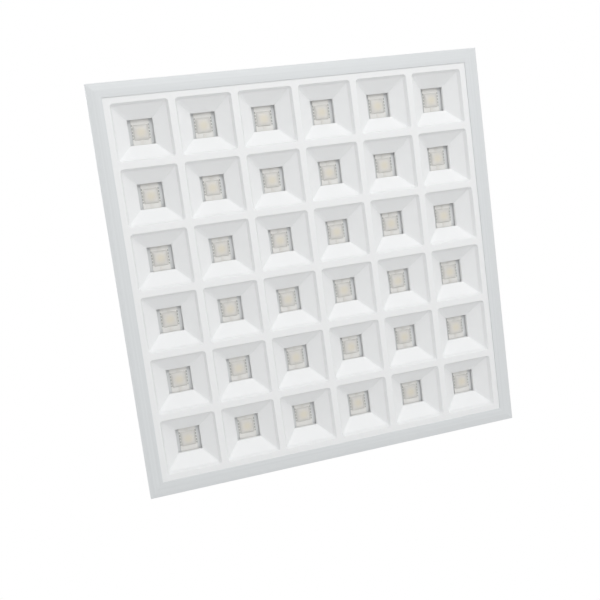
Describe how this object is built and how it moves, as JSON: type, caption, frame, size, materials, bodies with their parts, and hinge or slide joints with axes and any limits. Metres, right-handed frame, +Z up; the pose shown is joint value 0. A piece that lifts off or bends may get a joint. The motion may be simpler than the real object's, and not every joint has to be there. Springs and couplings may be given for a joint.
{
  "type": "recessed troffer light",
  "caption": "Square lay-in ceiling light with a flat rim, a grid of deep square cells with an LED lens behind each, a steel back pan and a hinged wiring box.",
  "frame": {"origin": "centre of the rim's room-side face, which is the lowest face", "axes": "+Z up into the ceiling void, the light shines towards -Z; +X is the picture's right and +Y its bottom, along the LED boards"},
  "size_m": [0.595, 0.595, 0.0656],
  "materials": {
    "frame_paint": "satin powder coat on extruded aluminium",
    "key_nylon": "moulded nylon",
    "louvre_plastic": "white moulded ABS, fine matt",
    "board_white": "white solder mask on an aluminium board",
    "lens_frosted": "frosted acrylic",
    "led_phosphor": "yellow phosphor",
    "pan_steel": "white powder coat",
    "zinc_screw": "bright zinc plate",
    "rivet_aluminium": "bare aluminium",
    "zinc_sheet": "galvanised",
    "box_steel": "white powder coat",
    "latch_nylon": "moulded black nylon",
    "gland_nylon": "moulded grey nylon",
    "earth_brass": "turned brass",
    "terminal_grey": "moulded polyamide",
    "lever_orange": "moulded polyamide",
    "switch_black": "moulded polyamide",
    "switch_white": "moulded polyamide",
    "insulator_film": "fish-paper film",
    "driver_board_green": "solder mask on glass epoxy",
    "ferrite": "sintered ferrite",
    "winding_tape": "yellow polyester tape over copper",
    "capacitor_sleeve": "shrunk sleeve",
    "grommet_rubber": "moulded rubber",
    "connector_white": "moulded nylon",
    "lead_jacket": "PVC lead jackets"
  },
  "bodies": {
    "housing": {"frame_rail_rear": "frame_paint", "frame_rail_right": "frame_paint", "frame_rail_front": "frame_paint", "frame_rail_left": "frame_paint", "corner_key_1": "key_nylon", "corner_key_2": "key_nylon", "corner_key_3": "key_nylon", "corner_key_4": "key_nylon", "louvre_grid": "louvre_plastic", "led_board_1": "board_white", "lens_strip_1": "lens_frosted", "led_board_2": "board_white", "lens_strip_2": "lens_frosted", "led_board_3": "board_white", "lens_strip_3": "lens_frosted", "led_board_4": "board_white", "lens_strip_4": "lens_frosted", "led_board_5": "board_white", "lens_strip_5": "lens_frosted", "led_board_6": "board_white", "lens_strip_6": "lens_frosted", "led_chips": "led_phosphor", "back_pan": "pan_steel", "flange_screws": "zinc_screw", "louvre_screws": "zinc_screw", "tray_screws": "zinc_screw", "board_rivets": "rivet_aluminium", "bracket_rivets": "rivet_aluminium", "clip_rivets": "rivet_aluminium", "hanger_bracket_1": "zinc_sheet", "hanger_bracket_2": "zinc_sheet", "hanger_bracket_3": "zinc_sheet", "hanger_bracket_4": "zinc_sheet", "driver_tray": "box_steel", "hinge_pin": "zinc_screw", "cable_gland": "gland_nylon", "gland_nut": "gland_nylon", "earth_stud": "earth_brass", "terminal_block": "terminal_grey", "lever_axle": "zinc_screw", "switch_body": "switch_black", "insulating_sheet": "insulator_film", "pcb_standoffs": "key_nylon", "driver_pcb": "driver_board_green", "transformer_core": "ferrite", "transformer_winding": "winding_tape", "capacitors": "capacitor_sleeve", "lead_grommet": "grommet_rubber", "wire_connectors": "connector_white", "wiring": "lead_jacket"},
    "lid": {"driver_lid": "box_steel"},
    "latch": {"lid_latch": "latch_nylon"},
    "clip_1": {"tbar_clip_1": "zinc_sheet"},
    "clip_2": {"tbar_clip_2": "zinc_sheet"},
    "clip_3": {"tbar_clip_3": "zinc_sheet"},
    "clip_4": {"tbar_clip_4": "zinc_sheet"},
    "lever_1": {"terminal_lever_1": "lever_orange"},
    "lever_2": {"terminal_lever_2": "lever_orange"},
    "lever_3": {"terminal_lever_3": "lever_orange"},
    "slider": {"switch_slider": "switch_white"}
  },
  "joints": [
    {"name": "lid_hinge", "type": "hinge", "parent": "housing", "child": "lid", "pos_m": [0, -0.0486, 0.0615], "axis": [1, 0, 0], "range_deg": [0, 110]},
    {"name": "latch_turn", "type": "hinge", "parent": "lid", "child": "latch", "pos_m": [0, 0.034, 0.0615], "axis": [0, 0, 1], "range_deg": [0, 90]},
    {"name": "clip_swing_1", "type": "hinge", "parent": "housing", "child": "clip_1", "pos_m": [0.268, 0, 0.0335], "axis": [0, 0, -1], "range_deg": [0, 90]},
    {"name": "clip_swing_2", "type": "hinge", "parent": "housing", "child": "clip_2", "pos_m": [0, 0.268, 0.0335], "axis": [0, 0, -1], "range_deg": [0, 90]},
    {"name": "clip_swing_3", "type": "hinge", "parent": "housing", "child": "clip_3", "pos_m": [-0.268, 0, 0.0335], "axis": [0, 0, -1], "range_deg": [0, 90]},
    {"name": "clip_swing_4", "type": "hinge", "parent": "housing", "child": "clip_4", "pos_m": [0, -0.268, 0.0335], "axis": [0, 0, -1], "range_deg": [0, 90]},
    {"name": "lever_lift_1", "type": "hinge", "parent": "housing", "child": "lever_1", "pos_m": [-0.0655, -0.012, 0.0446], "axis": [0, 1, 0], "range_deg": [0, 85]},
    {"name": "lever_lift_2", "type": "hinge", "parent": "housing", "child": "lever_2", "pos_m": [-0.0655, 0, 0.0446], "axis": [0, 1, 0], "range_deg": [0, 85]},
    {"name": "lever_lift_3", "type": "hinge", "parent": "housing", "child": "lever_3", "pos_m": [-0.0655, 0.012, 0.0446], "axis": [0, 1, 0], "range_deg": [0, 85]},
    {"name": "colour_slide", "type": "slide", "parent": "housing", "child": "slider", "axis": [0, 1, 0], "range_m": [0, 0.008]}
  ]
}
